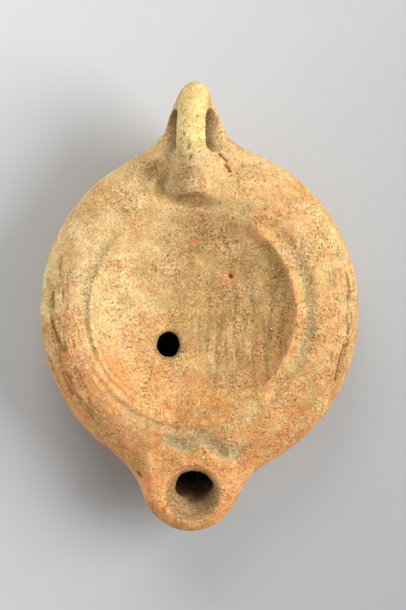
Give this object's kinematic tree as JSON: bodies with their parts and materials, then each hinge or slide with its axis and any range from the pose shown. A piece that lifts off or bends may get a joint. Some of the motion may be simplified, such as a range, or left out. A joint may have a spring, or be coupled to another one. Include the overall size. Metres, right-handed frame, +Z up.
{
  "type": "roman oil lamp",
  "caption": "Round hollow terracotta lamp with a sunken plain top, an off-centre filling hole, a short rounded nozzle and a pierced handle.",
  "frame": {"origin": "centre of the flat foot, on the surface the lamp stands on", "axes": "+Z up, +Y from the nozzle to the handle, +X to the right when the nozzle points to the viewer's feet and the lamp is seen from above"},
  "size_m": [0.0762, 0.1061, 0.0383],
  "materials": {
    "fired_clay": "unglazed fired clay, matt and gritty, buff at the handle and orange at the nozzle, worn and stained"
  },
  "bodies": {
    "root": {"lamp": "fired_clay"}
  },
  "joints": []
}
